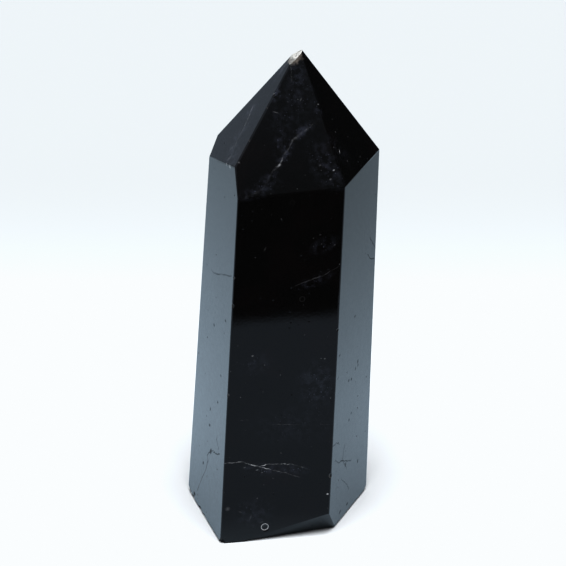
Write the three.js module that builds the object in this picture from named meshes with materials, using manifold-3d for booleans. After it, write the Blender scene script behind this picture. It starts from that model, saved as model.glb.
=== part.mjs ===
// A polished morion quartz point: one piece of black quartz, ground to six long faces and a
// six-faced tip, standing on a flat ground across its foot. Millimetres, +Z up, origin at the
// centre of the resting face. Azimuths are in degrees, 0 facing the viewer (-Y) and growing
// towards +X, so 90 faces +X and 180 faces +Y.
import * as THREE from "three";
import { mergeVertices } from "three/addons/utils/BufferGeometryUtils.js";
import Module from "manifold-3d";

const wasm = await Module();
wasm.setup();

// Height of the point where the six tip faces would meet, and where that point stands over the foot.
const TIP_HEIGHT = 80;
const TIP = new THREE.Vector3(4.1, -0.1, TIP_HEIGHT);

// The rough crystal that the point is ground from: radius across its corners, and spare length at
// each end.
const ROUGH_RADIUS = 32;
const ROUGH_SPARE = 5;

// The long faces: distance of each from the origin at the foot, and how far its normal is turned
// up (+, the face closes in towards the tip) or down (-, it leans out, as the point leans to +X).
const LONG_FACES = {
  front: { azimuth: 9.5, turnedUp: 1.5, distance: 13.65 },
  right: { azimuth: 68.9, turnedUp: -1.5, distance: 12.6 },
  backRight: { azimuth: 129.5, turnedUp: -1.4, distance: 14.3 },
  back: { azimuth: 190, turnedUp: 2.6, distance: 13 },
  backLeft: { azimuth: -109.3, turnedUp: 3.6, distance: 14.4 },
  left: { azimuth: -73.9, turnedUp: 3.3, distance: 12.45 },
};

// The tip faces all pass through TIP. The slope is measured from the horizontal.
const TIP_FACES = {
  frontTip: { azimuth: 8.2, slope: 60.5 },
  rightTip: { azimuth: 68.9, slope: 62.2 },
  backRightTip: { azimuth: 129.5, slope: 57.1 },
  backTip: { azimuth: 190, slope: 60 },
  backLeftTip: { azimuth: -125, slope: 51.4 },
  leftTip: { azimuth: -84.7, slope: 55.4 },
};

// Small faces that cut away the foot's lower edges: the ground bevel at the front right, and the
// worn corners at the far left and far right. They face downwards, so turnedUp is negative.
const FOOT_BEVELS = {
  frontBevel: { azimuth: 18.7, turnedUp: -31, distance: 12.1 },
  leftCorner: { azimuth: -89, turnedUp: -41, distance: 12.9 },
  rightCorner: { azimuth: 99, turnedUp: -48, distance: 14.6 },
};

// Widths of the narrow flats that polishing leaves along the edges.
const EDGE_WIDTH = 0.3;
const FOOT_EDGE_WIDTH = 0.4;

const LONG_EDGES = [
  ["front", "right"],
  ["right", "backRight"],
  ["backRight", "back"],
  ["back", "backLeft"],
  ["backLeft", "left"],
  ["left", "front"],
];
const SHOULDER_EDGES = [
  ["front", "frontTip"],
  ["right", "rightTip"],
  ["backRight", "backRightTip"],
  ["back", "backTip"],
  ["backLeft", "backLeftTip"],
  ["backLeft", "leftTip"],
  ["left", "leftTip"],
  ["left", "frontTip"],
];
const TIP_EDGES = [
  ["frontTip", "rightTip"],
  ["rightTip", "backRightTip"],
  ["backRightTip", "backTip"],
  ["backTip", "backLeftTip"],
  ["backLeftTip", "leftTip"],
  ["leftTip", "frontTip"],
];

// The bruise that blunts the very tip: three points on the tip's edges that its break passes
// through, each given as a drop below TIP along that edge, and the shell-shaped hollow in it.
const BRUISE_DROPS = [
  { edge: ["rightTip", "backRightTip"], drop: 0.7 },
  { edge: ["backLeftTip", "leftTip"], drop: 2 },
  { edge: ["leftTip", "frontTip"], drop: 2.6 },
];
const BRUISE_HOLLOW = { radius: 2.4, depth: 0.22 };

// How finely the ball that scoops out a chip is divided.
const SCOOP_DETAIL = 2;

// Chips broken out of the edges: where on the edge (height up the stone, or along the foot, seen
// from outside and growing to the right), and the radius and depth of the shell-shaped scoop.
const LONG_EDGE_CHIPS = [
  { edge: ["left", "front"], height: 46.2, radius: 0.5, depth: 0.2 },
  { edge: ["left", "front"], height: 41.4, radius: 0.7, depth: 0.26 },
  { edge: ["left", "front"], height: 26, radius: 0.6, depth: 0.22 },
  { edge: ["left", "front"], height: 9, radius: 0.45, depth: 0.18 },
  { edge: ["front", "right"], height: 10.6, radius: 0.8, depth: 0.22 },
  { edge: ["front", "right"], height: 36, radius: 0.5, depth: 0.18 },
  { edge: ["backRight", "back"], height: 22, radius: 0.9, depth: 0.3 },
  { edge: ["back", "backLeft"], height: 51, radius: 0.6, depth: 0.24 },
];
const FOOT_CHIPS = [
  { face: "left", along: -4.6, radius: 1, depth: 0.5 },
  { face: "left", along: -0.1, radius: 1.2, depth: 0.5 },
  { face: "right", along: 2.6, radius: 0.9, depth: 0.35 },
  { face: "back", along: -3.4, radius: 1.1, depth: 0.45 },
  { face: "back", along: 2.8, radius: 0.8, depth: 0.35 },
];
// A chip out of the foot's edge comes off at this angle below the horizontal.
const FOOT_CHIP_ANGLE = 45;

// A small round pit in the front face: position across and up the face, and radius.
const FRONT_PITS = [{ across: -3.6, up: 2.2, radius: 0.62 }];
const PIT_DEPTH = 0.16;
const PIT_SIDES = 10;
const PIT_RINGS = 4;

// A direction from an azimuth and an angle above the horizontal.
function direction(azimuth, up) {
  const a = THREE.MathUtils.degToRad(azimuth);
  const u = THREE.MathUtils.degToRad(up);
  return new THREE.Vector3(Math.sin(a) * Math.cos(u), -Math.cos(a) * Math.cos(u), Math.sin(u));
}

// The plane of a long face or a foot bevel, from its distance along its azimuth at the foot.
function sidePlane({ azimuth, turnedUp, distance }) {
  const foot = direction(azimuth, 0).multiplyScalar(distance);
  return new THREE.Plane().setFromNormalAndCoplanarPoint(direction(azimuth, turnedUp), foot);
}

function tipPlane({ azimuth, slope }) {
  return new THREE.Plane().setFromNormalAndCoplanarPoint(direction(azimuth, 90 - slope), TIP);
}

const planes = { foot: new THREE.Plane(new THREE.Vector3(0, 0, -1), 0) };
for (const [name, face] of Object.entries({ ...LONG_FACES, ...FOOT_BEVELS })) {
  planes[name] = sidePlane(face);
}
for (const [name, face] of Object.entries(TIP_FACES)) {
  planes[name] = tipPlane(face);
}

// The line where two faces meet: its direction, pointing up, and its point nearest the origin.
function edgeLine(first, second) {
  const a = planes[first];
  const b = planes[second];
  const along = new THREE.Vector3().crossVectors(a.normal, b.normal);
  const point = new THREE.Vector3().crossVectors(b.normal, along).multiplyScalar(-a.constant);
  point.add(new THREE.Vector3().crossVectors(along, a.normal).multiplyScalar(-b.constant));
  point.divideScalar(along.lengthSq());
  along.normalize();
  if (along.z < 0) along.negate();
  return { point, along };
}

function pointAtHeight({ point, along }, height) {
  return point.clone().addScaledVector(along, (height - point.z) / along.z);
}

// A three.js geometry as a manifold solid.
function solidOf(geometry) {
  geometry.deleteAttribute("normal");
  geometry.deleteAttribute("uv");
  const merged = mergeVertices(geometry);
  const mesh = new wasm.Mesh({
    numProp: 3,
    vertProperties: merged.attributes.position.array,
    triVerts: new Uint32Array(merged.index.array),
  });
  return new wasm.Manifold(mesh);
}

// Grinds a solid flat: takes off everything on the outer side of a plane.
const WHEEL = 300;
function grind(solid, plane) {
  const wheel = new THREE.BoxGeometry(WHEEL, WHEEL, WHEEL);
  wheel.translate(0, 0, WHEEL / 2);
  const turn = new THREE.Quaternion().setFromUnitVectors(new THREE.Vector3(0, 0, 1), plane.normal);
  wheel.applyQuaternion(turn);
  const onPlane = plane.coplanarPoint(new THREE.Vector3());
  wheel.translate(onPlane.x, onPlane.y, onPlane.z);
  return solid.subtract(solidOf(wheel));
}

// The narrow flat along the edge between two faces.
function edgeFlat(first, second, width) {
  const normal = planes[first].normal.clone().add(planes[second].normal).normalize();
  const turn = planes[first].normal.angleTo(planes[second].normal);
  const depth = (width / 2) * Math.tan(turn / 2);
  const point = edgeLine(first, second).point.addScaledVector(normal, -depth);
  return new THREE.Plane().setFromNormalAndCoplanarPoint(normal, point);
}

// A shell-shaped break: the stone loses what lies inside a coarse ball, which goes in to the given
// depth where it meets the stone from outside.
function scoop(solid, point, outward, { radius, depth }) {
  const ball = new THREE.IcosahedronGeometry(radius, SCOOP_DETAIL);
  const centre = point.clone().addScaledVector(outward, radius - depth);
  ball.translate(centre.x, centre.y, centre.z);
  return solid.subtract(solidOf(ball));
}

// The rough crystal: a six-sided prism a little larger than the finished point.
function roughCrystal() {
  const length = TIP_HEIGHT + 2 * ROUGH_SPARE;
  const rough = new THREE.CylinderGeometry(ROUGH_RADIUS, ROUGH_RADIUS, length, 6);
  rough.rotateX(Math.PI / 2);
  rough.translate(0, 0, TIP_HEIGHT / 2);
  return solidOf(rough);
}

function grindFaces(solid) {
  return Object.values(planes).reduce(grind, solid);
}

function softenEdges(solid) {
  let result = solid;
  for (const [first, second] of [...LONG_EDGES, ...SHOULDER_EDGES, ...TIP_EDGES]) {
    result = grind(result, edgeFlat(first, second, EDGE_WIDTH));
  }
  for (const face of [...Object.keys(LONG_FACES), "frontBevel"]) {
    result = grind(result, edgeFlat(face, "foot", FOOT_EDGE_WIDTH));
  }
  return result;
}

function bruiseTip(solid) {
  const [a, b, c] = BRUISE_DROPS.map(({ edge, drop }) => {
    return pointAtHeight(edgeLine(...edge), TIP_HEIGHT - drop);
  });
  const bruise = new THREE.Plane().setFromCoplanarPoints(a, b, c);
  if (bruise.distanceToPoint(TIP) < 0) bruise.negate();
  const middle = new THREE.Vector3().add(a).add(b).add(c).divideScalar(3);
  return scoop(grind(solid, bruise), middle, bruise.normal, BRUISE_HOLLOW);
}

function chipEdges(solid) {
  let result = solid;
  for (const { edge, height, ...size } of LONG_EDGE_CHIPS) {
    const [first, second] = edge.map((face) => planes[face].normal);
    const outward = first.clone().add(second).normalize();
    result = scoop(result, pointAtHeight(edgeLine(...edge), height), outward, size);
  }
  for (const { face, along, ...size } of FOOT_CHIPS) {
    const { azimuth, distance } = LONG_FACES[face];
    const point = direction(azimuth, 0).multiplyScalar(distance);
    point.addScaledVector(direction(azimuth + 90, 0), along);
    result = scoop(result, point, direction(azimuth, -FOOT_CHIP_ANGLE), size);
  }
  return result;
}

// A shallow round pit: a flattened coarse ball sunk to its middle into the front face.
function pitFront(solid) {
  const face = planes.front;
  const sideways = direction(LONG_FACES.front.azimuth + 90, 0);
  const ballAxis = new THREE.Vector3(0, 1, 0);
  let result = solid;
  for (const { across, up, radius } of FRONT_PITS) {
    const spot = sideways.clone().multiplyScalar(across).setZ(up);
    const onFace = face.projectPoint(spot, new THREE.Vector3());
    const pit = new THREE.SphereGeometry(radius, PIT_SIDES, PIT_RINGS);
    pit.scale(1, PIT_DEPTH / radius, 1);
    pit.applyQuaternion(new THREE.Quaternion().setFromUnitVectors(ballAxis, face.normal));
    pit.translate(onFace.x, onFace.y, onFace.z);
    result = result.subtract(solidOf(pit));
  }
  return result;
}

// Black and glossy: what little colour it has is a very dark smoky brown.
function polishedMorion() {
  return new THREE.MeshStandardMaterial({
    color: 0x0d0b0b,
    roughness: 0.06,
    metalness: 0,
    flatShading: true,
  });
}

function quartzPoint() {
  const steps = [grindFaces, softenEdges, bruiseTip, chipEdges, pitFront];
  const solid = steps.reduce((stone, step) => step(stone), roughCrystal());
  const { vertProperties, triVerts } = solid.getMesh();
  const geometry = new THREE.BufferGeometry();
  geometry.setAttribute("position", new THREE.BufferAttribute(vertProperties, 3));
  geometry.setIndex(new THREE.BufferAttribute(triVerts, 1));
  geometry.computeVertexNormals();
  const mesh = new THREE.Mesh(geometry, polishedMorion());
  mesh.name = "quartz_point";
  return mesh;
}

const morionPoint = new THREE.Group();
morionPoint.add(quartzPoint());
export default morionPoint;
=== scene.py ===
from math import cos, radians, sin, tan

import bpy
from mathutils import Matrix, Vector
from mathutils.geometry import intersect_plane_plane


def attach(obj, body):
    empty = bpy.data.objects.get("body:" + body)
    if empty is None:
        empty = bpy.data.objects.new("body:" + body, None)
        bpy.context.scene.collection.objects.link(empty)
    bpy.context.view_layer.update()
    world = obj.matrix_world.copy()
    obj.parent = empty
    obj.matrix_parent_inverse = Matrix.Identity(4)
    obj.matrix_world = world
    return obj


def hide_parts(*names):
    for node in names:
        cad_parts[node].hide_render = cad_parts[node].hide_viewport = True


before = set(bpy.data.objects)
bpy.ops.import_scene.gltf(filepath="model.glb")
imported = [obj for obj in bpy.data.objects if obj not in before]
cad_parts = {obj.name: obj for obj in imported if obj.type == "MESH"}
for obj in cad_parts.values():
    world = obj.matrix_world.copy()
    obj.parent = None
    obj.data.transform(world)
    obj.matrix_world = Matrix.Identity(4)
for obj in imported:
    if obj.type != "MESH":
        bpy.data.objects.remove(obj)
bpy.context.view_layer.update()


# The rough crystal
# A six-sided prism of morion, the black smoky variety of quartz, grown in one piece. It is sawn off
# a little longer and wider than the finished point.
MM = 0.001
TIP_HEIGHT = 80 * MM
ROUGH_RADIUS = 32 * MM
ROUGH_SPARE = 5 * MM

bpy.ops.object.select_all(action="DESELECT")
bpy.ops.mesh.primitive_cylinder_add(
    vertices=6,
    radius=ROUGH_RADIUS,
    depth=TIP_HEIGHT + 2 * ROUGH_SPARE,
    location=(0, 0, TIP_HEIGHT / 2),
)
bpy.ops.object.transform_apply(location=True, rotation=True, scale=True)
stone = bpy.context.active_object
stone.name = "morion_quartz_point"
stone.data.name = "morion_quartz_point"


# The ground faces
# The saw cuts and the natural faces are ground away on a flat wheel: six long faces, six tip faces
# that meet at one point, a flat foot, and three small faces that cut away the foot's lower edges.
# Azimuth 0 faces the viewer (-Y) and 90 faces +X.
LONG_FACES = {
    "front": {"azimuth": 9.5, "turned_up": 1.5, "distance": 13.65 * MM},
    "right": {"azimuth": 68.9, "turned_up": -1.5, "distance": 12.6 * MM},
    "back_right": {"azimuth": 129.5, "turned_up": -1.4, "distance": 14.3 * MM},
    "back": {"azimuth": 190, "turned_up": 2.6, "distance": 13 * MM},
    "back_left": {"azimuth": -109.3, "turned_up": 3.6, "distance": 14.4 * MM},
    "left": {"azimuth": -73.9, "turned_up": 3.3, "distance": 12.45 * MM},
}
FOOT_BEVELS = {
    "front_bevel": {"azimuth": 18.7, "turned_up": -31, "distance": 12.1 * MM},
    "left_corner": {"azimuth": -89, "turned_up": -41, "distance": 12.9 * MM},
    "right_corner": {"azimuth": 99, "turned_up": -48, "distance": 14.6 * MM},
}
TIP = Vector((4.1 * MM, -0.1 * MM, TIP_HEIGHT))
TIP_FACES = {
    "front_tip": {"azimuth": 8.2, "slope": 60.5},
    "right_tip": {"azimuth": 68.9, "slope": 62.2},
    "back_right_tip": {"azimuth": 129.5, "slope": 57.1},
    "back_tip": {"azimuth": 190, "slope": 60},
    "back_left_tip": {"azimuth": -125, "slope": 51.4},
    "left_tip": {"azimuth": -84.7, "slope": 55.4},
}


def direction(azimuth, up):
    """A direction from an azimuth and an angle above the horizontal."""
    a, u = radians(azimuth), radians(up)
    return Vector((sin(a) * cos(u), -cos(a) * cos(u), sin(u)))


# A face is a point on it and the direction that it looks in.
faces = {"foot": (Vector((0, 0, 0)), Vector((0, 0, -1)))}
for name, face in {**LONG_FACES, **FOOT_BEVELS}.items():
    point = direction(face["azimuth"], 0) * face["distance"]
    faces[name] = (point, direction(face["azimuth"], face["turned_up"]))
for name, face in TIP_FACES.items():
    faces[name] = (TIP, direction(face["azimuth"], 90 - face["slope"]))


GRIND_TOLERANCE = 0.0002 * MM


def grind(point, outward):
    """Takes off all that lies outside a flat face, and leaves the face closed."""
    bpy.ops.mesh.select_all(action="SELECT")
    bpy.ops.mesh.bisect(
        plane_co=point,
        plane_no=outward,
        use_fill=True,
        clear_outer=True,
        threshold=GRIND_TOLERANCE,
    )


bpy.ops.object.mode_set(mode="EDIT")
for point, outward in faces.values():
    grind(point, outward)


# The polished edges
# Polishing on a soft pad takes the sharpness off every edge: it leaves a narrow flat, and rounds
# the two corners of that flat a little.
EDGE_WIDTH = 0.3 * MM
FOOT_EDGE_WIDTH = 0.4 * MM
EASED_WIDTH = 0.14 * MM
LONG_EDGES = [
    ("front", "right"),
    ("right", "back_right"),
    ("back_right", "back"),
    ("back", "back_left"),
    ("back_left", "left"),
    ("left", "front"),
]
SHOULDER_EDGES = [
    ("front", "front_tip"),
    ("right", "right_tip"),
    ("back_right", "back_right_tip"),
    ("back", "back_tip"),
    ("back_left", "back_left_tip"),
    ("back_left", "left_tip"),
    ("left", "left_tip"),
    ("left", "front_tip"),
]
TIP_EDGES = [
    ("front_tip", "right_tip"),
    ("right_tip", "back_right_tip"),
    ("back_right_tip", "back_tip"),
    ("back_tip", "back_left_tip"),
    ("back_left_tip", "left_tip"),
    ("left_tip", "front_tip"),
]
FOOT_EDGES = [(name, "foot") for name in [*LONG_FACES, "front_bevel"]]


def edge_flat(first, second, width):
    """The flat of a given width along the edge between two faces."""
    outward = (first[1] + second[1]).normalized()
    turn = first[1].angle(second[1])
    on_edge, _ = intersect_plane_plane(first[0], first[1], second[0], second[1])
    return on_edge - outward * (width / 2 * tan(turn / 2)), outward


def ease_edge(first, second, width):
    """Polishes one edge: the flat first, then its two corners."""
    flat = edge_flat(faces[first], faces[second], width)
    grind(*flat)
    grind(*edge_flat(faces[first], flat, EASED_WIDTH))
    grind(*edge_flat(flat, faces[second], EASED_WIDTH))


for first, second in LONG_EDGES + SHOULDER_EDGES + TIP_EDGES:
    ease_edge(first, second, EDGE_WIDTH)
for first, second in FOOT_EDGES:
    ease_edge(first, second, FOOT_EDGE_WIDTH)


# The bruised tip
# The very tip was knocked off. The break passes through three points on the tip's edges, each at a
# drop below the point where the faces would meet, and a crumbled, shell-shaped hollow lies in it.
BRUISE_DROPS = [
    (("right_tip", "back_right_tip"), 0.7 * MM),
    (("back_left_tip", "left_tip"), 2 * MM),
    (("left_tip", "front_tip"), 2.6 * MM),
]
BRUISE_HOLLOW = {"radius": 2.4 * MM, "depth": 0.22 * MM}
CRUMBLE_SIZE = 0.35 * MM
CRUMBLE_DEPTH = 0.16 * MM
CRUMBLE_LAYERS = 3
CRUMBLE_FINENESS = 6
# A face that looks this nearly the same way as the break is part of it.
SAME_WAY = 0.999


def at_height(first, second, height):
    """The point at a height on the edge between two faces."""
    point, along = intersect_plane_plane(*faces[first], *faces[second])
    return point + along * ((height - point.z) / along.z)


a, b, c = (at_height(*edge, TIP_HEIGHT - drop) for edge, drop in BRUISE_DROPS)
bruise = (b - a).cross(c - a).normalized()
if bruise.dot(TIP - a) < 0:
    bruise.negate()
grind(a, bruise)
bpy.ops.object.mode_set(mode="OBJECT")

polished = bpy.data.materials.new("polished morion quartz")
bruised = bpy.data.materials.new("bruised morion quartz")
chipped = bpy.data.materials.new("chipped morion quartz")
BREAKS = [polished, bruised, chipped]
for material in BREAKS:
    stone.data.materials.append(material)
for polygon in stone.data.polygons:
    if polygon.normal.dot(bruise) > SAME_WAY:
        polygon.material_index = BREAKS.index(bruised)


def break_out(point, outward, radius, depth, material, grain, relief, fineness):
    """A shell-shaped break: the stone loses what lies inside a roughened ball."""
    bpy.ops.object.select_all(action="DESELECT")
    centre = point + outward * (radius - depth)
    bpy.ops.mesh.primitive_ico_sphere_add(subdivisions=fineness, radius=radius, location=centre)
    ball = bpy.context.active_object
    bpy.ops.object.transform_apply(location=True, rotation=True, scale=True)
    for each in BREAKS:
        ball.data.materials.append(each)
    for polygon in ball.data.polygons:
        polygon.material_index = BREAKS.index(material)
    crumble = bpy.data.textures.new("crumble", "CLOUDS")
    crumble.noise_scale = grain
    crumble.noise_depth = CRUMBLE_LAYERS
    roughen = ball.modifiers.new("crumble", "DISPLACE")
    roughen.texture = crumble
    roughen.strength = relief
    bpy.ops.object.modifier_apply(modifier="crumble")
    bpy.ops.object.select_all(action="DESELECT")
    stone.select_set(True)
    bpy.context.view_layer.objects.active = stone
    cut = stone.modifiers.new("break", "BOOLEAN")
    cut.operation = "DIFFERENCE"
    cut.solver = "EXACT"
    cut.object = ball
    bpy.ops.object.modifier_apply(modifier="break")
    bpy.data.objects.remove(ball)


bruise_middle = (a + b + c) / 3
break_out(
    bruise_middle,
    bruise,
    **BRUISE_HOLLOW,
    material=bruised,
    grain=CRUMBLE_SIZE,
    relief=CRUMBLE_DEPTH,
    fineness=CRUMBLE_FINENESS,
)


# The chips
# Small knocks have broken shell-shaped chips out of the edges and the foot, and a larger one took
# the corner at the front left of the foot. Each is given by its place, its radius and its depth in
# millimetres: on an edge, by two faces and a height, and at the foot, by a face and the way along.
EDGE_CHIPS = [
    ("left", "front", 46.2, 0.5, 0.2),
    ("left", "front", 41.4, 0.7, 0.26),
    ("left", "front", 26, 0.6, 0.22),
    ("left", "front", 9, 0.45, 0.18),
    ("front", "right", 10.6, 0.8, 0.22),
    ("front", "right", 36, 0.5, 0.18),
    ("back_right", "back", 22, 0.9, 0.3),
    ("back", "back_left", 51, 0.6, 0.24),
    ("left_tip", "front_tip", 73.5, 0.4, 0.2),
    ("left_tip", "front_tip", 71.8, 0.35, 0.17),
    ("left_tip", "front_tip", 67.5, 0.4, 0.17),
    ("right_tip", "back_right_tip", 70.4, 0.4, 0.17),
    ("back_tip", "back_left_tip", 68.2, 0.45, 0.18),
]
FOOT_CHIPS = [
    ("left", -4.2, 1.1, 0.62),
    ("left", 0, 1.2, 0.6),
    ("left", 2.4, 0.9, 0.48),
    ("front", -9.4, 0.5, 0.22),
    ("front", -7.3, 0.5, 0.2),
    ("right", 2.6, 0.9, 0.35),
    ("back", -3.4, 1.1, 0.45),
    ("back", 2.8, 0.8, 0.35),
]
FOOT_CHIP_ANGLE = 45
CORNER_CHIP = {"radius": 1.6 * MM, "depth": 0.75 * MM}
CHIP_GRAIN = 0.5 * MM
CHIP_RELIEF = 0.06 * MM
CHIP_SURFACE = {"material": chipped, "grain": CHIP_GRAIN, "relief": CHIP_RELIEF, "fineness": 4}

for first, second, height, radius, depth in EDGE_CHIPS:
    knocked = at_height(first, second, height * MM)
    outward = (faces[first][1] + faces[second][1]).normalized()
    break_out(knocked, outward, radius * MM, depth * MM, **CHIP_SURFACE)
for name, along, radius, depth in FOOT_CHIPS:
    azimuth = LONG_FACES[name]["azimuth"]
    knocked = faces[name][0] + direction(azimuth + 90, 0) * along * MM
    outward = direction(azimuth, -FOOT_CHIP_ANGLE)
    break_out(knocked, outward, radius * MM, depth * MM, **CHIP_SURFACE)
outward = (faces["left"][1] + faces["front"][1] + faces["foot"][1]).normalized()
break_out(at_height("left", "front", 0), outward, **CORNER_CHIP, **CHIP_SURFACE)


# The pit
# A grain came out of the front face as it was ground and left a shallow round pit, which the felt
# polished along with the face.
PIT_PLACE = (-3.6, 2.2)
PIT_RADIUS = 0.62 * MM
PIT_DEPTH = 0.16 * MM
PIT_RELIEF = CHIP_RELIEF / 4
PIT_FINENESS = 5


def face_axes(name):
    """Across a face to the right, up it, and out of it, as seen from outside."""
    outward = faces[name][1]
    across = Vector((0, 0, 1)).cross(outward).normalized()
    return across, outward.cross(across), outward


def on_face(name, across, up):
    """The point on a face at so many millimetres across and up it."""
    sideways, upward, _ = face_axes(name)
    return faces[name][0] + sideways * across * MM + upward * up * MM


break_out(
    on_face("front", *PIT_PLACE),
    faces["front"][1],
    PIT_RADIUS**2 / (2 * PIT_DEPTH) + PIT_DEPTH / 2,
    PIT_DEPTH,
    material=polished,
    grain=CHIP_GRAIN,
    relief=PIT_RELIEF,
    fineness=PIT_FINENESS,
)

# The flats are smooth across their eased corners, and the breaks meet them sharply.
SMOOTH_ANGLE = radians(23.5)
LARGE_FACE_WEIGHT = 100
bpy.ops.object.shade_smooth_by_angle(angle=SMOOTH_ANGLE)
evened = stone.modifiers.new("evened", "WEIGHTED_NORMAL")
evened.weight = LARGE_FACE_WEIGHT
evened.keep_sharp = True
bpy.ops.object.modifier_apply(modifier="evened")

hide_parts("quartz_point")
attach(stone, "root")


# The polish
# Morion is quartz turned black by natural radiation, and so dark that no light comes through a
# stone this thick. Tin oxide on a felt pad gives it a glassy polish, so the eye sees the room
# mirrored in it, strongly at a grazing angle, over a body that is nearly black and faintly brown.
QUARTZ_IOR = 1.544
BODY = "#0E0E0E"
THIN_BODY = "#1F1516"
PALE = "#C4C5C8"
BLUISH = "#8A90A8"
POLISH_ROUGHNESS = 0.035
# How deep under its face a mark reaches, in millimetres, so that it stays off the next face.
MARK_DEPTH = 0.5


def colour(code):
    """An sRGB hex colour as linear red, green, blue and alpha."""
    parts = [int(code[i : i + 2], 16) / 255 for i in (1, 3, 5)]
    linear = [p / 12.92 if p <= 0.04045 else ((p + 0.055) / 1.055) ** 2.4 for p in parts]
    return (*linear, 1)


def add(tree, kind, inputs=None, **settings):
    """Adds a node: its settings, and its inputs' values or what they are joined to."""
    node = tree.nodes.new("ShaderNode" + kind)
    for key, value in settings.items():
        setattr(node, key, value)
    for key, value in (inputs or {}).items():
        if isinstance(value, bpy.types.NodeSocket):
            tree.links.new(value, node.inputs[key])
        else:
            node.inputs[key].default_value = value
    return node


def start(material):
    """An empty node tree for a material, and the place on its object in metres."""
    material.use_nodes = True
    tree = material.node_tree
    tree.nodes.clear()
    return tree, add(tree, "TexCoord").outputs["Object"]


def finish(tree, shader):
    """Gives a material its shader."""
    add(tree, "OutputMaterial", {"Surface": shader.outputs[0]})


def stronger(tree, first, second):
    """The stronger of two masks at each place. The first may be None, for no mask yet."""
    if first is None:
        return second
    return add(tree, "Math", {0: first, 1: second}, operation="MAXIMUM").outputs[0]


def weaken(tree, mask, share):
    """A mask cut down to a share of itself, which may differ from place to place."""
    return add(tree, "Math", {0: mask, 1: share}, operation="MULTIPLY").outputs[0]


def face_space(tree, place, name):
    """Millimetres across, up and out of a face."""
    inputs = {
        "Vector": place,
        "Location": faces[name][0],
        "Rotation": Matrix(face_axes(name)).transposed().to_euler(),
        "Scale": (MM, MM, MM),
    }
    return add(tree, "Mapping", inputs, vector_type="TEXTURE").outputs[0]


def fleck(tree, space, across, up, length, width, turn, strength):
    """A small soft mark: brightest in its middle, and gone at its outline."""
    inputs = {
        "Vector": space,
        "Location": (across, up, 0),
        "Rotation": (0, 0, radians(turn)),
        "Scale": (length / 2, width / 2, MARK_DEPTH),
    }
    local = add(tree, "Mapping", inputs, vector_type="TEXTURE").outputs[0]
    mask = add(tree, "TexGradient", {"Vector": local}, gradient_type="SPHERICAL").outputs["Fac"]
    return weaken(tree, mask, strength)


def ring(tree, space, across, up, radius, width, strength):
    """The pale rim of a round pit."""
    inputs = {0: space, 1: (across, up, 0)}
    away = add(tree, "VectorMath", inputs, operation="DISTANCE").outputs["Value"]
    off = add(tree, "Math", {0: away, 1: radius}, operation="SUBTRACT").outputs[0]
    off = add(tree, "Math", {0: off}, operation="ABSOLUTE").outputs[0]
    inputs = {"Value": off, "From Min": 0, "From Max": width, "To Min": strength, "To Max": 0}
    return add(tree, "MapRange", inputs).outputs["Result"]


def through(mapping, line, points):
    """Draws one line of a curve straight from point to point."""
    mapping.use_clip = False
    for _ in points[2:]:
        line.points.new(0, 0)
    for knot, (x, y) in zip(line.points, points):
        knot.location = (x, y)
        knot.handle_type = "VECTOR"
    mapping.update()


def crack(tree, space, width, upright, points):
    """A hair-fine crack along points: the way along it, the way aside, and how much it shows."""
    parts = add(tree, "SeparateXYZ", {0: space}).outputs
    along, aside = (parts[1], parts[0]) if upright else (parts[0], parts[1])
    line = add(tree, "FloatCurve", {"Value": along})
    through(line.mapping, line.mapping.curves[0], [(x, y) for x, y, _ in points])
    shown = add(tree, "FloatCurve", {"Value": along})
    through(shown.mapping, shown.mapping.curves[0], [(x, strength) for x, _, strength in points])
    off = add(tree, "Math", {0: aside, 1: line.outputs[0]}, operation="SUBTRACT").outputs[0]
    off = add(tree, "Math", {0: off}, operation="ABSOLUTE").outputs[0]
    inputs = {"Value": off, "From Min": 0, "From Max": width, "To Min": 1, "To Max": 0}
    mask = add(tree, "MapRange", inputs).outputs["Result"]
    return weaken(tree, mask, shown.outputs[0])


# The marks in the stone
# Healed cracks, thin veils and specks lie in and just under the polish, and show pale in the black
# faces. Where a face mirrors the light at a grazing angle they break the mirror and show dark.

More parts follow.
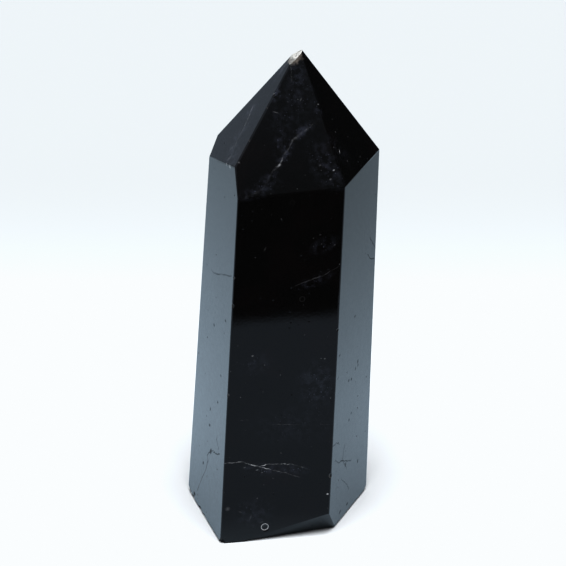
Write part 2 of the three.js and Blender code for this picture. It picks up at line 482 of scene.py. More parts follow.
# Places and sizes are in millimetres across and up a face. A crack is its width, whether it runs up
# the face, and its points: the way along it, the way aside from there, and the strength. A fleck or
# a haze is its place across and up, its length, width, turn in degrees and strength. A rim is its
# place across and up, its radius, width and strength.
MARKS = {
    "front": {
        "pale_cracks": [
            (0.13, False, [
                (-10.2, 14.2, 0), (-10, 14.2, 0.22), (-7.5, 14.25, 0.3), (-6.4, 13.9, 0.35),
                (-5.9, 13.6, 0.8), (-5.2, 13.35, 0.95), (-4.6, 13.2, 0.45), (-4, 13.35, 0.95),
                (-3.3, 13.5, 0.75), (-2.4, 13.4, 0.15), (-0.6, 13.3, 0.35), (0.6, 13.2, 0.22),
                (1.2, 13, 0.05), (2.5, 12.5, 0.15), (3.2, 12.2, 0),
            ]),
            (0.12, False, [
                (-5.2, 13.3, 0), (-4.4, 13.1, 0.4), (-3.8, 12.9, 0.6), (-3.1, 12.6, 0.75),
                (-2.6, 12.45, 0.25), (-0.2, 11.7, 0.2), (1.4, 11, 0.16), (2.2, 10.7, 0),
            ]),
            (0.1, False, [(-2.9, 20.4, 0), (-0.5, 20.3, 0.1), (2.2, 20, 0)]),
            (0.1, False, [(5.2, 19.8, 0), (6.4, 19.7, 0.11), (7.5, 19.6, 0)]),
            (0.1, False, [(-8, 21.6, 0), (-7, 21.55, 0.12), (-5.9, 21.5, 0)]),
            (0.14, False, [
                (0.7, 43.9, 0), (2, 44.4, 0.07), (6, 45.7, 0.09), (8.4, 47, 0.05), (8.6, 47.1, 0),
            ]),
        ],
        "flecks": [
            (6.5, 7.4, 0.5, 0.4, 0, 1), (-9.7, 6.1, 1, 0.9, 30, 0.14),
            (-5.5, 32.6, 0.5, 0.4, 0, 0.3), (6.1, 31.2, 0.45, 0.35, 0, 0.22),
            (5.5, 31.3, 0.35, 0.3, 0, 0.16), (7.7, 50.7, 0.5, 0.3, 40, 0.12),
            (5.4, 52.6, 0.4, 0.3, 0, 0.12), (-3.4, 50.8, 1.1, 0.3, 65, 0.07),
            (-4.8, 61, 1.7, 0.3, 85, 0.05), (-4.2, 3.3, 0.9, 0.3, 15, 0.08),
            (-7.7, 5.4, 1, 0.3, -20, 0.07), (-6, 4.3, 1.2, 0.3, 70, 0.07),
            (-6.9, 13.2, 0.5, 0.3, 0, 0.2), (-4.9, 12.6, 0.6, 0.3, 10, 0.28),
            (-4.1, 12.1, 0.5, 0.25, 0, 0.18),
        ],
        "hazes": [
            (4.9, 26.7, 8, 10, 0, 0.65), (-5.5, 5, 8, 7, 0, 0.5), (-4, 12.6, 8, 2.6, -8, 0.8),
            (-5, 31, 7, 4, 20, 0.45), (1, 12.2, 7, 2, -8, 0.6), (6, 50.8, 6, 3, 25, 0.7),
            (4.5, 44.8, 8, 2.4, 18, 0.6), (1, 20, 18, 9, 0, 0.25),
        ],
        "rims": [
            (-3.7, 2.4, 0.57, 0.1, 0.85), (2.5, 41.8, 0.4, 0.12, 0.03),
            (1, 58.4, 0.34, 0.12, 0.015),
        ],
    },
    "front_tip": {
        "pale_cracks": [
            (0.34, False, [
                (-11.3, -23.8, 0), (-9.5, -23.1, 0.03), (-7.5, -22.2, 0.02), (-6.4, -20.6, 0.02),
                (-5.5, -19.2, 0.05), (-4.8, -18.8, 0.25), (-4.3, -18.3, 0.32), (-3.7, -17, 0.07),
                (-2.9, -16.1, 0.06), (-2.2, -14.8, 0.1), (-0.8, -13.8, 0.07), (1.1, -12.5, 0.04),
                (2, -12, 0),
            ]),
            (0.14, True, [
                (-5.6, -1.7, 0), (-5.2, -1.7, 0.05), (-4, -1.6, 0.07), (-2.8, -1.6, 0.07),
                (-2.4, -1.6, 0),
            ]),
        ],
        "flecks": [
            (-4.5, -10.2, 1.2, 0.24, -20, 0.16), (-4.3, -6.4, 0.5, 0.3, 0, 0.35),
            (-4.6, -7.3, 0.6, 0.35, 60, 0.5), (2.3, -9.3, 0.4, 0.3, 0, 0.35),
            (4, -19.8, 0.5, 0.35, 30, 0.5), (1.9, -18.9, 0.5, 0.3, 0, 0.14),
            (3.4, -21.2, 0.5, 0.3, 50, 0.2), (-4.5, -18.5, 0.8, 0.5, 40, 0.5),
            (-0.4, -8.4, 0.8, 0.3, 60, 0.12),
        ],
        "hazes": [
            (3.2, -19, 7, 12, 25, 0.5), (2.6, -9.8, 2.6, 5, 0, 0.8), (-8, -22.4, 9, 3, 20, 0.6),
            (-3.5, -16.8, 6, 2.4, 60, 0.9), (-0.6, -13.5, 6, 2.4, 36, 0.9),
            (-4.2, -14.6, 6, 2.2, 70, 0.6), (-4.2, -7.2, 2.4, 5, -28, 0.8),
            (-0.8, -7.6, 7, 9, 0, 0.4), (-3, -11, 9, 6, 20, 0.3), (-0.7, -5, 4, 8, 0, 0.6),
            (-6.6, -20.8, 6, 2.6, 50, 0.6),
        ],
    },
    "right_tip": {
        "flecks": [
            (-3.5, -17.3, 0.9, 0.28, 55, 0.8), (-1.9, -14.5, 0.35, 0.3, 0, 0.25),
            (-4.6, -16.1, 0.35, 0.3, 0, 0.25), (1.8, -20.5, 0.6, 0.25, 20, 0.12),
            (-1, -12.6, 0.4, 0.25, 0, 0.14), (-2.6, -19.4, 0.5, 0.25, 30, 0.14),
        ],
        "hazes": [(-3.4, -17, 4.5, 10, 25, 0.3)],
    },
    "left_tip": {
        "pale_cracks": [
            (0.5, True, [
                (-19.6, 4.6, 0), (-18.9, 3.6, 0.08), (-18, 2.8, 0.12), (-17, 2.2, 0.06),
                (-15.7, 1.3, 0.14), (-14.9, 0.8, 0.1), (-14.2, 0.1, 0.18), (-13.3, -0.7, 0.2),
                (-12.6, -1.4, 0.08), (-12, -1.9, 0),
            ]),
        ],
        "flecks": [
            (5.1, -21.2, 0.9, 0.6, 0, 0.4), (7, -20.7, 1.6, 0.7, 10, 0.65),
            (9.4, -18.5, 0.8, 0.5, 40, 0.35), (4.6, -20.3, 2, 0.8, 60, 0.14),
            (2.6, -19.3, 1.5, 0.6, 70, 0.12), (-0.4, -4.2, 2, 4, 0, 0.05),
        ],
        "hazes": [
            (-1.2, -13.6, 6, 3, 50, 1), (1.6, -16.6, 6, 2.6, 65, 1), (5, -19.5, 9, 5, 0, 0.9),
            (-0.6, -5, 3, 6, 0, 1),
        ],
    },
    "back_right_tip": {
        "pale_cracks": [
            (0.14, False, [
                (-5, -20, 0), (-3, -18.2, 0.3), (-0.5, -17.6, 0.55), (2, -15.4, 0.25),
                (3, -14.6, 0),
            ]),
        ],
        "flecks": [(1.5, -9, 0.6, 0.35, 20, 0.4), (-2, -13, 0.9, 0.3, 60, 0.25)],
        "hazes": [(0, -19, 9, 6, 0, 0.4)],
    },
    "back_tip": {
        "pale_cracks": [
            (0.14, True, [
                (-21, -3, 0), (-18, -2.1, 0.3), (-15.5, -2.4, 0.5), (-12, -0.8, 0.22),
                (-10, -0.4, 0),
            ]),
        ],
        "flecks": [(2.4, -16, 0.7, 0.4, 0, 0.4), (-1.2, -8, 0.5, 0.3, 40, 0.3)],
        "hazes": [(2, -18, 8, 6, 20, 0.45)],
    },
    "back_left_tip": {
        "flecks": [(1, -16, 1.1, 0.3, 35, 0.5), (-2.5, -18.5, 0.5, 0.4, 0, 0.4)],
        "hazes": [(0, -17, 7, 6, 0, 0.4)],
    },
    "left": {
        "dark_cracks": [
            (0.13, False, [
                (-1.5, 42.2, 0), (0.3, 42.3, 0.25), (3.3, 43.3, 0.4), (4.4, 43.9, 0.1),
                (6, 44.5, 0.4), (7.4, 45, 0.3), (9.3, 45.7, 0.5), (10.4, 46.2, 0),
            ]),
            (0.14, True, [
                (2, -2.6, 0), (3.1, -1.7, 0.3), (4.4, -0.9, 0.1), (5.7, 0, 0.35), (7.9, 1.8, 0.25),
                (9.2, 2.4, 0.45), (10.5, 3, 0.6), (11, 2.4, 0.7), (12, 3.3, 0.75), (12.6, 4.4, 0.6),
                (13.4, 5.5, 0.4), (13.7, 6, 0),
            ]),
            (0.15, False, [
                (5.4, 13, 0), (6, 13.3, 0.5), (7.4, 13.6, 0.35), (8.8, 14.3, 0.6), (9.4, 14.6, 0),
            ]),
            (0.14, True, [(14.6, 8.2, 0), (15.2, 8.3, 0.6), (16, 7.1, 0.6), (17, 7.3, 0)]),
        ],
        "dark_flecks": [
            (2.8, 16.6, 1.1, 0.6, 20, 0.5), (2.7, 19.4, 1, 0.5, 60, 0.45),
            (4.2, 12.6, 1.6, 0.9, 50, 0.7), (-3.6, 1.2, 1.2, 0.8, 0, 0.8),
            (6.5, 22.4, 0.9, 0.5, 30, 0.4), (7.4, 27.5, 0.9, 0.5, 0, 0.35),
            (2.2, 34, 0.9, 0.6, 0, 0.5), (8.3, 37.5, 1, 0.5, 0, 0.5), (0.4, 8.7, 1, 0.6, 40, 0.5),
        ],
    },
    "right": {
        "dark_cracks": [
            (0.13, False, [(6.7, 46.4, 0), (7, 46.2, 0.6), (8.9, 44.1, 0.6), (9.6, 43.4, 0)]),
            (0.13, False, [
                (5.9, 43.8, 0), (6.3, 43.5, 0.7), (7.4, 42.4, 0.5), (8.8, 41.8, 0.7),
                (9.4, 41.5, 0),
            ]),
            (0.13, False, [
                (-6.6, 12.4, 0), (-5.9, 12.3, 0.25), (-4.4, 11.3, 0.3), (-2.9, 11, 0.7),
                (-1.4, 10.2, 0.5), (0.9, 9.1, 0.35), (1.8, 8.8, 0),
            ]),
            (0.12, True, [
                (8, -0.4, 0), (8.6, -0.7, 0.2), (11, -2.8, 0.65), (12.2, -2.2, 0.25),
                (13, -2, 0.45), (13.6, -1.6, 0),
            ]),
            (0.14, False, [
                (-7.6, 15.8, 0), (-7.1, 15.6, 0.45), (-5.6, 15.4, 0.2), (-4.8, 15, 0.4),
                (-4.2, 14.4, 0),
            ]),
            (0.12, True, [
                (3.4, 0.2, 0), (4.2, 0.7, 0.3), (5.5, -0.4, 0.3), (7.3, -2.6, 0.35), (8, -3.2, 0),
            ]),
        ],
        "dark_flecks": [
            (3.1, 26, 0.9, 0.6, 80, 0.6), (3.2, 25.3, 0.6, 0.5, 60, 0.5),
            (2.1, 25.2, 0.7, 0.5, 70, 0.5), (0.3, 24.1, 0.7, 0.6, 20, 0.6),
            (-0.9, 24.4, 0.7, 0.6, 0, 0.55), (0.8, 17.8, 0.7, 0.5, 0, 0.35),
            (-0.2, 17, 0.7, 0.6, 0, 0.45), (4.6, 7.3, 0.8, 0.6, 70, 0.6),
            (-3.1, 1.7, 1.2, 0.6, 20, 0.4), (0.2, 1.6, 1.1, 0.5, 0, 0.6), (1, 35, 1, 0.5, 0, 0.4),
            (-5.6, 31, 0.9, 0.5, 0, 0.4), (-1.2, 9.4, 1, 0.6, 60, 0.7),
        ],
    },
    "back_right": {
        "pale_cracks": [
            (0.14, False, [
                (-4, 21, 0), (-2, 22.4, 0.3), (1, 22.9, 0.6), (3, 24.6, 0.3), (4.4, 25, 0),
            ]),
        ],
        "flecks": [(-2.4, 41, 0.6, 0.4, 0, 0.5), (3, 9, 0.8, 0.3, 30, 0.4)],
        "hazes": [(1, 38, 9, 8, 0, 0.4)],
    },
    "back": {
        "pale_cracks": [
            (0.14, False, [
                (-8, 33.5, 0), (-5, 34.6, 0.35), (-1.5, 34.2, 0.8), (2, 36, 0.4), (5, 36.4, 0.2),
                (6, 37, 0),
            ]),
            (0.12, True, [(8, 2.4, 0), (11, 3.1, 0.3), (15, 2.6, 0.5), (19, 4, 0.2), (20, 4.2, 0)]),
        ],
        "flecks": [
            (-4.6, 50, 0.6, 0.4, 0, 0.5), (4, 54, 1, 0.3, 40, 0.3), (-3, 14, 0.5, 0.5, 0, 0.5),
        ],
        "hazes": [(-3, 46, 9, 8, 0, 0.45), (3, 22, 8, 7, 30, 0.4)],
    },
    "back_left": {
        "pale_cracks": [
            (0.14, False, [
                (-4, 16, 0), (-2, 17, 0.4), (0.5, 16.6, 0.6), (3, 18.2, 0.3), (4, 18.4, 0),
            ]),
        ],
        "flecks": [(1, 40, 0.6, 0.5, 0, 0.5), (-2, 52, 1, 0.3, 50, 0.3)],
        "hazes": [(0, 30, 7, 9, 0, 0.4)],
    },
}
MARK_JITTER = 0.45
JITTER_GRAIN = {"Scale": 1.6, "Detail": 3}

# Specks are their spacing in millimetres, their size as a share of it, and the share that shows.
# They and the grain that the wheel left are drawn coarser than the real ones, which wouldn't show.
BUBBLES = (0.36, 0.34, 0.45)
BUBBLE_STRENGTH = 0.5
DUST = (1.3, 0.1, 0.5)
DUST_STRENGTH = 0.16
PITS = (1.5, 0.13, 0.5)
PIT_STRENGTH = 0.4
SPECK_CORE = 0.4

# Each pattern is a noise of a size in millimetres, and how strongly its values show.
BEADS = {"Scale": 1 / (0.55 * MM), "Detail": 3}
BEADS_SHOWN = {"From Min": 0.4, "From Max": 0.62, "To Min": 0.15, "To Max": 1.3}
SMOKE = {"Scale": 1 / (0.9 * MM), "Detail": 7}
SMOKE_SHOWN = {"From Min": 0.44, "From Max": 0.68, "To Min": 0, "To Max": 0.15}
CLOUDS = {"Scale": 1 / (7 * MM), "Detail": 4}
CLOUDS_SHOWN = {"From Min": 0.5, "From Max": 0.75, "To Min": 0, "To Max": 0.22}

# The frost fades out with the way from the bruise, and is greyer to the left of its middle.
FROST_BROWN = "#2C201B"
FROST_GREY = "#8C8780"
FROST_FADE = {"From Min": 0.4 * MM, "From Max": 2.5 * MM, "To Min": 1, "To Max": -0.25}
FROST_GRAIN = {"Scale": 1 / (0.8 * MM), "Detail": 6}
FROST_SHOWN = {"From Min": 0.75, "From Max": 1.2, "To Min": 0, "To Max": 1}
FROST_GREYER = {
    "From Min": bruise_middle.x - 0.6 * MM,
    "From Max": bruise_middle.x + 0.8 * MM,
    "To Min": 0.3,
    "To Max": -0.12,
}

# The polish is a little smeared, wavy and pitted, and is rough at the marks. The faces are not
# quite flat, but very slightly domed.
SMEAR = {"Scale": 1 / (3 * MM), "Detail": 5}
SMEAR_ROUGHENS = {
    "From Min": 0.3,
    "From Max": 0.8,
    "To Min": POLISH_ROUGHNESS,
    "To Max": POLISH_ROUGHNESS * 2,
}
ROUGH_MARK = 0.45
PALE_ROUGHENS = 0.8
WAVE = {"Scale": 1 / (14 * MM), "Detail": 1}
WAVE_HEIGHT = 0.03 * MM
PEEL = {"Scale": 1 / (0.4 * MM), "Detail": 2}
PEEL_HEIGHT = 0.002 * MM
TINY_PIT_DEPTH = 0.03 * MM
DOME_RADIUS = 0.7
DOME_CENTRE = (1.5 * MM, 0, 35 * MM)
CRACK_TILT = (0, -0.9, 0)
WHEEL_GRAIN = {"Scale": 1 / (0.7 * MM), "Detail": 5, "Roughness": 0.7}
WHEEL_GRAIN_TILT = {"From Min": 0.35, "From Max": 0.65, "To Min": -0.014, "To Max": 0.014}


def jittered(tree, space):
    """A face's millimetres, shaken a little, so that cracks wander."""
    shake = add(tree, "TexNoise", {"Vector": space, **JITTER_GRAIN}).outputs["Color"]
    inputs = {0: shake, 1: (MARK_JITTER, MARK_JITTER, 0)}
    shake = add(tree, "VectorMath", inputs, operation="MULTIPLY").outputs[0]
    inputs = {0: shake, 1: (-MARK_JITTER / 2, -MARK_JITTER / 2, 0)}
    shake = add(tree, "VectorMath", inputs, operation="ADD").outputs[0]
    return add(tree, "VectorMath", {0: space, 1: shake}, operation="ADD").outputs[0]


def near_face(tree, space):
    """1 within the depth of a face's marks, and 0 elsewhere."""
    depth = add(tree, "SeparateXYZ", {0: space}).outputs[2]
    depth = add(tree, "Math", {0: depth}, operation="ABSOLUTE").outputs[0]
    return add(tree, "Math", {0: depth, 1: MARK_DEPTH}, operation="LESS_THAN").outputs[0]


def specks(tree, place, spacing, size, share):
    """Round specks of mixed brightness, one to each spacing, of which only a share shows."""
    inputs = {"Vector": place, "Scale": 1 / (spacing * MM), "Randomness": 1}
    cells = add(tree, "TexVoronoi", inputs).outputs
    inputs = {"Value": cells["Distance"], "From Min": size * SPECK_CORE, "From Max": size}
    inputs.update({"To Min": 1, "To Max": 0})
    spot = add(tree, "MapRange", inputs, interpolation_type="SMOOTHSTEP").outputs["Result"]
    random = add(tree, "SeparateColor", {0: cells["Color"]}).outputs[0]
    inputs = {"Value": random, "From Min": 1 - share, "From Max": 1, "To Min": 0, "To Max": 1}
    return weaken(tree, spot, add(tree, "MapRange", inputs).outputs["Result"])


tree, place = start(polished)
KINDS = {
    "pale_cracks": ("crack", crack),
    "flecks": ("pale", fleck),
    "rims": ("pale", ring),
    "dark_cracks": ("dark", crack),
    "dark_flecks": ("dark", fleck),
    "hazes": ("haze", fleck),
}
found = {"crack": None, "pale": None, "dark": None, "haze": None}
for name, marks in MARKS.items():
    space = face_space(tree, place, name)
    near = near_face(tree, space)
    shaken = jittered(tree, space)
    here = {}
    for kind, listed in marks.items():
        group, draw = KINDS[kind]
        for mark in listed:
            mask = draw(tree, shaken if draw is crack else space, *mark)
            here[group] = stronger(tree, here.get(group), mask)
    for group, mask in here.items():
        found[group] = stronger(tree, found[group], weaken(tree, mask, near))

# A crack shows where its healed walls catch the light, so it comes and goes along its line. A veil
# is a sheet of tiny bubbles, so it is a smoky patch with brighter specks in it.
beads = add(tree, "TexNoise", {"Vector": place, **BEADS}).outputs["Fac"]
beads = add(tree, "MapRange", {"Value": beads, **BEADS_SHOWN}).outputs["Result"]
pale = stronger(tree, weaken(tree, found["crack"], beads), found["pale"])
smoke = add(tree, "TexNoise", {"Vector": place, **SMOKE}).outputs["Fac"]
smoke = add(tree, "MapRange", {"Value": smoke, **SMOKE_SHOWN}).outputs["Result"]
bubbles = weaken(tree, specks(tree, place, *BUBBLES), BUBBLE_STRENGTH)
haze = weaken(tree, found["haze"], stronger(tree, smoke, bubbles))
dust = weaken(tree, specks(tree, place, *DUST), DUST_STRENGTH)
pale = stronger(tree, pale, dust)

# The body is a little browner in clouds through the stone. Round the bruised tip the polish is
# frosted and the stone shows through it grey and brown.
clouds = add(tree, "TexNoise", {"Vector": place, **CLOUDS}).outputs["Fac"]
brown = add(tree, "MapRange", {"Value": clouds, **CLOUDS_SHOWN}).outputs["Result"]
inputs = {0: brown, 6: colour(BODY), 7: colour(THIN_BODY)}
body = add(tree, "Mix", inputs, data_type="RGBA").outputs[2]
inputs = {0: place, 1: bruise_middle}
away = add(tree, "VectorMath", inputs, operation="DISTANCE").outputs["Value"]
frost = add(tree, "MapRange", {"Value": away, **FROST_FADE}).outputs["Result"]
grain = add(tree, "TexNoise", {"Vector": place, **FROST_GRAIN}).outputs["Fac"]
frost = add(tree, "Math", {0: grain, 1: frost}, operation="ADD").outputs[0]
inputs = {"Value": frost, **FROST_SHOWN}
frost = add(tree, "MapRange", inputs, interpolation_type="SMOOTHSTEP").outputs["Result"]
sideways = add(tree, "SeparateXYZ", {0: place}).outputs[0]
grey = add(tree, "MapRange", {"Value": sideways, **FROST_GREYER}).outputs["Result"]
grey = add(tree, "Math", {0: grain, 1: grey}, operation="ADD", use_clamp=True).outputs[0]
inputs = {0: grey, 6: colour(FROST_BROWN), 7: colour(FROST_GREY)}
frosted = add(tree, "Mix", inputs, data_type="RGBA").outputs[2]
body = add(tree, "Mix", {0: frost, 6: body, 7: frosted}, data_type="RGBA").outputs[2]
body = add(tree, "Mix", {0: haze, 6: body, 7: colour(BLUISH)}, data_type="RGBA").outputs[2]
body = add(tree, "Mix", {0: pale, 6: body, 7: colour(PALE)}, data_type="RGBA").outputs[2]

# Polish: a faint unevenness from the pad, tiny pits, and the marks, which scatter the mirror.
pits = specks(tree, place, *PITS)
dark = stronger(tree, found["dark"], weaken(tree, pits, PIT_STRENGTH))
smear = add(tree, "TexNoise", {"Vector": place, **SMEAR}).outputs["Fac"]
roughness = add(tree, "MapRange", {"Value": smear, **SMEAR_ROUGHENS}).outputs["Result"]
broken = stronger(tree, dark, pits)
dulled = weaken(tree, stronger(tree, pale, frost), PALE_ROUGHENS)
broken = stronger(tree, broken, dulled)
inputs = {2: roughness, 3: ROUGH_MARK, 0: broken}
roughness = add(tree, "Mix", inputs, data_type="FLOAT").outputs[0]
wave = add(tree, "TexNoise", {"Vector": place, **WAVE}).outputs["Fac"]
peel = add(tree, "TexNoise", {"Vector": place, **PEEL}).outputs["Fac"]
away = add(tree, "VectorMath", {0: place, 1: DOME_CENTRE}, operation="DISTANCE").outputs["Value"]
dome = add(tree, "Math", {0: away, 1: 2}, operation="POWER").outputs[0]
inputs = {"Height": dome, "Strength": 1, "Distance": 1 / (2 * DOME_RADIUS)}
normal = add(tree, "Bump", inputs, invert=True).outputs[0]
inputs = {"Height": wave, "Strength": 1, "Distance": WAVE_HEIGHT, "Normal": normal}
normal = add(tree, "Bump", inputs).outputs[0]
inputs = {"Height": peel, "Strength": 1, "Distance": PEEL_HEIGHT, "Normal": normal}
normal = add(tree, "Bump", inputs).outputs[0]
inputs = {"Height": pits, "Strength": 1, "Distance": TINY_PIT_DEPTH, "Normal": normal}
normal = add(tree, "Bump", inputs, invert=True).outputs[0]
# The lip of an open crack faces the front, away from the bright paper at the side, and so, a
# little, does the grain that the wheel left, which shows where a face is seen at a low angle.
grain = add(tree, "TexNoise", {"Vector": place, **WHEEL_GRAIN}).outputs["Fac"]
grain = add(tree, "MapRange", {"Value": grain, **WHEEL_GRAIN_TILT}).outputs["Result"]
tilt = add(tree, "Math", {0: dark, 1: grain}, operation="ADD").outputs[0]
inputs = {0: tilt, 1: CRACK_TILT, 2: normal}
normal = add(tree, "VectorMath", inputs, operation="MULTIPLY_ADD").outputs[0]
normal = add(tree, "VectorMath", {0: normal}, operation="NORMALIZE").outputs[0]
inputs = {"Base Color": body, "Roughness": roughness, "IOR": QUARTZ_IOR, "Normal": normal}
finish(tree, add(tree, "BsdfPrincipled", inputs))


# The broken surfaces
# The bruised tip is crushed quartz: white and frosted, with some of the stone's brown in it. A chip
# breaks with a shell-shaped, duller black surface that has a pale dust of crushed stone on it.
CRUSHED = "#D8D7D4"
CRUSHED_SHADE = "#868886"
CRUSHED_BROWN = "#4A382D"
CRUSHED_ROUGHNESS = 0.55
CRUSHED_GRAIN = {"Scale": 1 / (0.7 * MM), "Detail": 6}
CRUSHED_GRAIN_DEPTH = 0.12 * MM
CRUSHED_WHITE = {"From Min": 0.38, "From Max": 0.58, "To Min": 0, "To Max": 1}
# It is whiter to the right of its middle, and has its brown patches low down.
CRUSHED_WHITER = {
    "From Min": bruise_middle.x - 0.5 * MM,
    "From Max": bruise_middle.x + 0.2 * MM,
    "To Min": 0.3,
    "To Max": 1,
}
CRUSHED_LOW = {"From Min": 77.4 * MM, "From Max": 78.4 * MM, "To Min": 1, "To Max": 0}
BROWN_PATCH = {"Scale": 1 / (1.3 * MM), "Detail": 4}
BROWN_PATCH_SHOWN = {"From Min": 0.42, "From Max": 0.56, "To Min": 0, "To Max": 0.45}

tree, place = start(bruised)
grain = add(tree, "TexNoise", {"Vector": place, **CRUSHED_GRAIN}).outputs["Fac"]
white = add(tree, "MapRange", {"Value": grain, **CRUSHED_WHITE}).outputs["Result"]
sideways = add(tree, "SeparateXYZ", {0: place}).outputs[0]
whiter = add(tree, "MapRange", {"Value": sideways, **CRUSHED_WHITER}).outputs["Result"]
inputs = {0: weaken(tree, white, whiter), 6: colour(CRUSHED_SHADE), 7: colour(CRUSHED)}
shade = add(tree, "Mix", inputs, data_type="RGBA").outputs[2]
up = add(tree, "SeparateXYZ", {0: place}).outputs[2]
low = add(tree, "MapRange", {"Value": up, **CRUSHED_LOW}).outputs["Result"]
patch = add(tree, "TexNoise", {"Vector": place, **BROWN_PATCH}).outputs["Fac"]
patch = add(tree, "MapRange", {"Value": patch, **BROWN_PATCH_SHOWN}).outputs["Result"]
inputs = {0: weaken(tree, low, patch), 6: shade, 7: colour(CRUSHED_BROWN)}
shade = add(tree, "Mix", inputs, data_type="RGBA").outputs[2]
inputs = {"Height": grain, "Strength": 1, "Distance": CRUSHED_GRAIN_DEPTH}
bump = add(tree, "Bump", inputs).outputs[0]
inputs = {"Base Color": shade, "Roughness": CRUSHED_ROUGHNESS, "IOR": QUARTZ_IOR, "Normal": bump}
finish(tree, add(tree, "BsdfPrincipled", inputs))

CHIP_BODY = "#161414"
CHIP_DUST = "#575553"
CHIP_ROUGHNESS = 0.3
CHIP_DUST_GRAIN = {"Scale": 1 / (0.4 * MM), "Detail": 5}
CHIP_DUST_DEPTH = 0.03 * MM
CHIP_DUST_SHOWN = {"From Min": 0.45, "From Max": 0.7, "To Min": 0, "To Max": 1}

tree, place = start(chipped)
grain = add(tree, "TexNoise", {"Vector": place, **CHIP_DUST_GRAIN}).outputs["Fac"]
dust = add(tree, "MapRange", {"Value": grain, **CHIP_DUST_SHOWN}).outputs["Result"]
inputs = {0: dust, 6: colour(CHIP_BODY), 7: colour(CHIP_DUST)}
shade = add(tree, "Mix", inputs, data_type="RGBA").outputs[2]
inputs = {"Height": grain, "Strength": 1, "Distance": CHIP_DUST_DEPTH}
bump = add(tree, "Bump", inputs).outputs[0]
inputs = {"Base Color": shade, "Roughness": CHIP_ROUGHNESS, "IOR": QUARTZ_IOR, "Normal": bump}
finish(tree, add(tree, "BsdfPrincipled", inputs))


# The paper under the stone
# A wide sheet of white paper, bright enough to burn out near the stone, and painted greyer behind
# it:
# painted shade. The stone mirrors a second sheet in its place, which only reflections see: a
# painted reflection of the paper, as cool as it is where it isn't burnt out, brighter near the
# stone, with painted shade towards the front, and ending in a painted dark band for the dim room in
# front of it.
PAPER_SIZE = 6
PAPER_DROP = 0.02 * MM
NEAR_PAPER = "#D9DCDF"
SHADED_FAR_PAPER = "#BBBFC1"
PAPER_SHADE_CHANGE = (0, 0.132)


def sheet(name, z, size):
    """A level sheet of paper and its own material."""
    bpy.ops.object.select_all(action="DESELECT")
    bpy.ops.mesh.primitive_plane_add(size=size, location=(0, 0, z))
    bpy.ops.object.transform_apply(location=True)
    paper = bpy.context.active_object
    paper.name = name
    material = bpy.data.materials.new(name)
    paper.data.materials.append(material)
    return paper, material


def blend(tree, value, start_at, end_at, first, second):
    """One colour before a place, another after it, and a soft change between them."""
    inputs = {"Value": value, "From Min": start_at, "From Max": end_at}
    mask = add(tree, "MapRange", inputs, interpolation_type="SMOOTHSTEP").outputs["Result"]
    return add(tree, "Mix", {0: mask, 6: first, 7: second}, data_type="RGBA").outputs[2]


paper, material = sheet("paper", -PAPER_DROP, PAPER_SIZE)
paper.visible_glossy = False
tree, place = start(material)
# Painted shade: the paper is painted greyer behind the stone.
back = add(tree, "SeparateXYZ", {0: place}).outputs[1]
shade = blend(tree, back, *PAPER_SHADE_CHANGE, colour(NEAR_PAPER), colour(SHADED_FAR_PAPER))
finish(tree, add(tree, "BsdfDiffuse", {"Color": shade}))

# The painted reflection's shades, from the back to the front: brighter near the stone, painted
# shade towards the front, and a painted dark band for the dim room. Each is the slant of its edge,
# the two places between which it comes in, and its colour.
MIRRORED_SIZE = 0.8
PAINTED_REFLECTION_FAR = "#A5B3BD"
PAINTED_REFLECTION_SHADES = [
    (0.35, 0, 0.14, "#D1E4F3"),
    (-0.2, -0.024, -0.009, "#98A5B4"),
    (-0.123, -0.1115, -0.1045, "#141414"),
]
reflection_sheet, material = sheet("painted_reflection_paper", -PAPER_DROP / 2, MIRRORED_SIZE)
reflection_sheet.visible_camera = False
reflection_sheet.visible_diffuse = False
reflection_sheet.visible_shadow = False
tree, place = start(material)
across, back, _ = add(tree, "SeparateXYZ", {0: place}).outputs
# Painted reflection: these colours set what the stone mirrors, with painted shade and a dark band.
shade = colour(PAINTED_REFLECTION_FAR)
for slant, start_at, end_at, code in PAINTED_REFLECTION_SHADES:
    inputs = {0: across, 1: slant, 2: back}
    slanted = add(tree, "Math", inputs, operation="MULTIPLY_ADD").outputs[0]
    shade = blend(tree, slanted, start_at, end_at, colour(code), shade)
finish(tree, add(tree, "BsdfDiffuse", {"Color": shade}))


# The light
# A broad soft lamp overhead, a little to the front, and weak light from all round. What the stone
# mirrors above the paper is the dim room: lighter to the left and above, dark to the right.
SKY_COLOUR = (1, 1, 1, 1)
SKY_LIGHT = 0.3
ROOM_COLOUR = (0.72, 0.83, 0.98, 1)
ROOM_LEFT = {"From Min": 0.15, "From Max": -0.5, "To Min": 0.025, "To Max": 0.56}
ROOM_ABOVE = {"From Min": 0.54, "From Max": 0.67, "To Min": 0, "To Max": 0.37}
BACKGROUND = (0.903, 0.933, 0.957, 1)

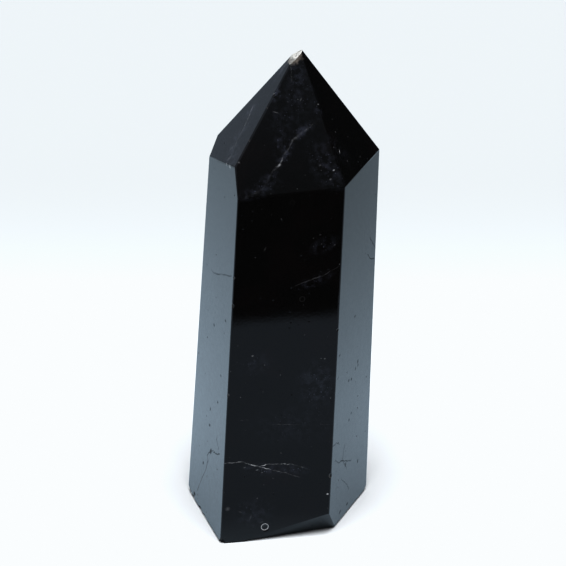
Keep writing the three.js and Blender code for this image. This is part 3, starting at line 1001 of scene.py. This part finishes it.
world = bpy.data.worlds.new("soft_light")
bpy.context.scene.world = world
world.use_nodes = True
tree = world.node_tree
tree.nodes.clear()
ray = add(tree, "LightPath").outputs
looking = add(tree, "SeparateXYZ", {0: add(tree, "TexCoord").outputs["Generated"]}).outputs
inputs = {"Value": looking[0], **ROOM_LEFT}
left = add(tree, "MapRange", inputs, interpolation_type="SMOOTHSTEP").outputs["Result"]
above = add(tree, "MapRange", {"Value": looking[2], **ROOM_ABOVE}).outputs["Result"]
room = add(tree, "Math", {0: left, 1: above}, operation="ADD").outputs[0]
sky = add(tree, "Background", {"Color": SKY_COLOUR, "Strength": SKY_LIGHT}).outputs[0]
room = add(tree, "Background", {"Color": ROOM_COLOUR, "Strength": room}).outputs[0]
behind = add(tree, "Background", {"Color": BACKGROUND, "Strength": 1}).outputs[0]
shown = add(tree, "MixShader", {0: ray["Is Glossy Ray"], 1: sky, 2: room}).outputs[0]
shown = add(tree, "MixShader", {0: ray["Is Camera Ray"], 1: shown, 2: behind}).outputs[0]
add(tree, "OutputWorld", {"Surface": shown})

LAMP_STRENGTH = 4.9
LAMP_SPREAD = radians(42)
LAMP_FROM = Vector((0.02, -0.25, 1))
bpy.ops.object.light_add(type="SUN", location=LAMP_FROM)
lamp = bpy.context.active_object
lamp.name = "overhead_lamp"
lamp.rotation_euler = LAMP_FROM.to_track_quat("Z", "Y").to_euler()
lamp.data.energy = LAMP_STRENGTH
lamp.data.angle = LAMP_SPREAD
lamp.visible_glossy = False


# The camera
# It looks at the stone from the front and from 25 degrees above, from far enough away that the long
# faces stay nearly parallel. Its response is contrasty, as the paper is white and the stone black,
# and its brightest white is a little below pure white.
CAMERA_PLACE = (1.5 * MM, -825.2 * MM, 423.8 * MM)
CAMERA_TILT = radians(65)
CAMERA_LENS = 362.5
CONTRAST = 1.45
WHITE_KNEE = 0.9
WHITEST = (0.97, 0.988, 0.994)

bpy.ops.object.camera_add(location=CAMERA_PLACE, rotation=(CAMERA_TILT, 0, 0))
camera = bpy.context.active_object
camera.name = "camera"
camera.data.lens = CAMERA_LENS
bpy.context.scene.camera = camera
response = bpy.context.scene.view_settings
response.view_transform = "Standard"
response.gamma = 1 / CONTRAST
response.use_curve_mapping = True
response.curve_mapping.extend = "HORIZONTAL"
for line, whitest in zip(response.curve_mapping.curves, WHITEST):
    through(response.curve_mapping, line, [(0, 0), (WHITE_KNEE, WHITE_KNEE), (1, whitest)])
